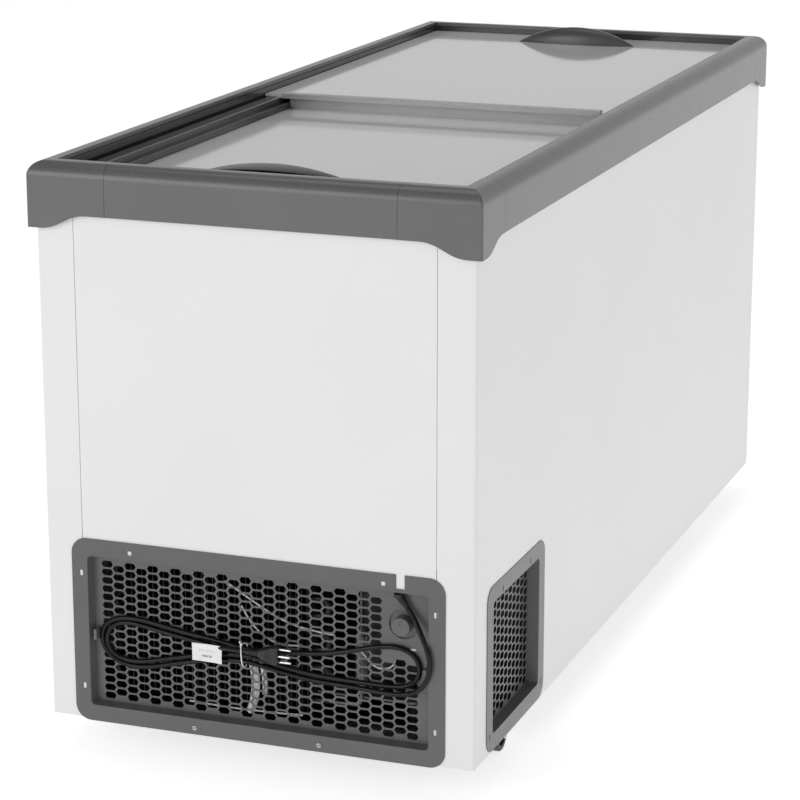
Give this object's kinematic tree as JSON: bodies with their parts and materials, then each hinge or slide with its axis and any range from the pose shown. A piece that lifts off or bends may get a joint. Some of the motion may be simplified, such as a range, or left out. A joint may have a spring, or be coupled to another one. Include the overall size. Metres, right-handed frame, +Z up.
{
  "type": "chest freezer",
  "caption": "Glass-topped chest freezer on casters with sliding lids on two levels, a vented machine end, a thermostat knob and a bundled power cord.",
  "frame": {"origin": "centre of the footprint, on the floor under the casters", "axes": "+X along the length towards the plain end, -X end is the machine end with the grille and cord, -Y is the long side that carries the thermostat end of the machine grille, +Z up"},
  "size_m": [1.6941, 0.684, 0.9053],
  "materials": {
    "white_steel": "smooth semi-gloss",
    "liner_white": "embossed satin",
    "foam": "rigid foam",
    "grey_trim": "satin moulded",
    "dark_rail": "satin extruded",
    "lid_glass": "polished",
    "lid_profile": "satin anodised",
    "handle_grey": "satin moulded",
    "grille_grey": "satin moulded",
    "screw_steel": "zinc plated",
    "black_enamel": "gloss enamel",
    "black_rubber": "semi-gloss",
    "black_plastic": "moulded",
    "caster_tyre": "satin",
    "copper": "drawn tube",
    "cold_coil": "drawn tube",
    "white_plastic": "satin"
  },
  "bodies": {
    "case": {"base_panel": "black_enamel", "case_front_panel": "white_steel", "case_rear_panel": "white_steel", "machine_end_panel": "white_steel", "plain_end_panel": "white_steel", "liner_tub": "liner_white", "insulation_foam": "foam", "evaporator_coil": "cold_coil", "compartment_divider": "black_enamel", "drain_spout": "liner_white", "trim_front": "grey_trim", "trim_rear": "grey_trim", "trim_machine_end": "grey_trim", "trim_plain_end": "grey_trim", "trim_corner_front_machine": "grey_trim", "trim_corner_rear_machine": "grey_trim", "trim_corner_front_plain": "grey_trim", "trim_corner_rear_plain": "grey_trim", "lid_rail_front": "dark_rail", "lid_rail_rear": "dark_rail", "end_frame_machine": "dark_rail", "end_frame_plain": "dark_rail", "machine_grille": "grille_grey", "side_grille": "grille_grey", "grille_screws": "screw_steel", "compressor": "black_enamel", "compressor_mount": "screw_steel", "compressor_grommets": "black_rubber", "compressor_terminal_cover": "black_plastic", "condenser_coil": "black_enamel", "condenser_fins": "black_enamel", "fan_shroud": "black_enamel", "fan_motor": "black_plastic", "filter_drier": "copper", "refrigerant_pipes": "copper", "thermostat_body": "black_plastic", "caster_plates": "screw_steel", "cord_gland": "black_plastic", "cord_lead": "black_rubber", "cord_hank": "black_rubber", "cord_plug": "black_plastic", "cord_tag": "white_plastic", "cord_tie": "white_plastic"},
    "upper_lid": {"upper_lid_glass": "lid_glass", "upper_lid_profile": "lid_profile", "upper_lid_handle": "handle_grey"},
    "lower_lid": {"lower_lid_glass": "lid_glass", "lower_lid_riser": "lid_profile", "lower_lid_handle": "handle_grey"},
    "knob": {"thermostat_knob": "grille_grey"},
    "fan": {"fan_blade": "black_plastic"},
    "plug_of_drain": {"drain_plug": "black_rubber"},
    "caster_front_machine_fork": {"caster_fork_front_machine": "screw_steel"},
    "caster_front_machine_wheel": {"caster_wheel_front_machine": "caster_tyre"},
    "caster_front_plain_fork": {"caster_fork_front_plain": "screw_steel"},
    "caster_front_plain_wheel": {"caster_wheel_front_plain": "caster_tyre"},
    "caster_rear_machine_fork": {"caster_fork_rear_machine": "screw_steel"},
    "caster_rear_machine_wheel": {"caster_wheel_rear_machine": "caster_tyre"},
    "caster_rear_plain_fork": {"caster_fork_rear_plain": "screw_steel"},
    "caster_rear_plain_wheel": {"caster_wheel_rear_plain": "caster_tyre"}
  },
  "joints": [
    {"name": "upper_lid_slide", "type": "slide", "parent": "case", "child": "upper_lid", "axis": [1, 0, 0], "range_m": [-0.749, 0]},
    {"name": "lower_lid_slide", "type": "slide", "parent": "case", "child": "lower_lid", "axis": [1, 0, 0], "range_m": [0, 0.791]},
    {"name": "knob_turn", "type": "hinge", "parent": "case", "child": "knob", "pos_m": [-0.83, -0.22, 0.2563], "axis": [1, 0, 0], "range_deg": [-135, 135]},
    {"name": "fan_spin", "type": "hinge", "parent": "case", "child": "fan", "pos_m": [-0.721, 0.08, 0.2], "axis": [1, 0, 0], "continuous": true},
    {"name": "drain_plug_pull", "type": "slide", "parent": "case", "child": "plug_of_drain", "axis": [0, 0, 1], "range_m": [0, 0.04]},
    {"name": "swivel_front_machine", "type": "hinge", "parent": "case", "child": "caster_front_machine_fork", "pos_m": [-0.586, -0.294, 0.06], "axis": [0, 0, 1], "continuous": true},
    {"name": "roll_front_machine", "type": "hinge", "parent": "caster_front_machine_fork", "child": "caster_front_machine_wheel", "pos_m": [-0.615, -0.294, 0.025], "axis": [0, 1, 0], "continuous": true},
    {"name": "swivel_front_plain", "type": "hinge", "parent": "case", "child": "caster_front_plain_fork", "pos_m": [0.586, -0.244, 0.06], "axis": [0, 0, 1], "continuous": true},
    {"name": "roll_front_plain", "type": "hinge", "parent": "caster_front_plain_fork", "child": "caster_front_plain_wheel", "pos_m": [0.557, -0.244, 0.025], "axis": [0, 1, 0], "continuous": true},
    {"name": "swivel_rear_machine", "type": "hinge", "parent": "case", "child": "caster_rear_machine_fork", "pos_m": [-0.586, 0.294, 0.06], "axis": [0, 0, 1], "continuous": true},
    {"name": "roll_rear_machine", "type": "hinge", "parent": "caster_rear_machine_fork", "child": "caster_rear_machine_wheel", "pos_m": [-0.615, 0.294, 0.025], "axis": [0, 1, 0], "continuous": true},
    {"name": "swivel_rear_plain", "type": "hinge", "parent": "case", "child": "caster_rear_plain_fork", "pos_m": [0.586, 0.244, 0.06], "axis": [0, 0, 1], "continuous": true},
    {"name": "roll_rear_plain", "type": "hinge", "parent": "caster_rear_plain_fork", "child": "caster_rear_plain_wheel", "pos_m": [0.557, 0.244, 0.025], "axis": [0, 1, 0], "continuous": true}
  ]
}
